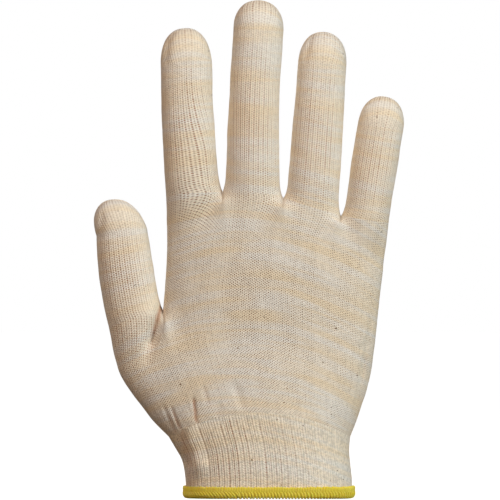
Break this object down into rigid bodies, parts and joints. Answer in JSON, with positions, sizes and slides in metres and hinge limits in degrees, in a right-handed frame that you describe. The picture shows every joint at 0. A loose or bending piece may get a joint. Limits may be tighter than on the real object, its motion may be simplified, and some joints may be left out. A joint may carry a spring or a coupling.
{
  "type": "knit work glove",
  "caption": "Seamless knit work glove in the shape of a worn right hand, hollow and open at a ribbed wrist bound with overlocked thread.",
  "frame": {"origin": "middle of the wrist opening, level with the edging's lower side", "axes": "+Z to the fingertips, +X to the little finger, -Y out of the back of the hand, which is the side that the picture shows"},
  "size_m": [0.1501, 0.0552, 0.2413],
  "materials": {
    "knit": "undyed cream cotton in a fine plain knit with soft horizontal yarn bands",
    "cuff_rib": "the same cream cotton over elastic, in narrow upright ribs",
    "edging_thread": "yellow overlocked thread, slightly glossy"
  },
  "bodies": {
    "root": {"index_finger": "knit", "middle_finger": "knit", "ring_finger": "knit", "little_finger": "knit", "thumb": "knit", "palm_body": "knit", "rib_cuff": "cuff_rib", "hem_edging": "edging_thread"}
  },
  "joints": []
}
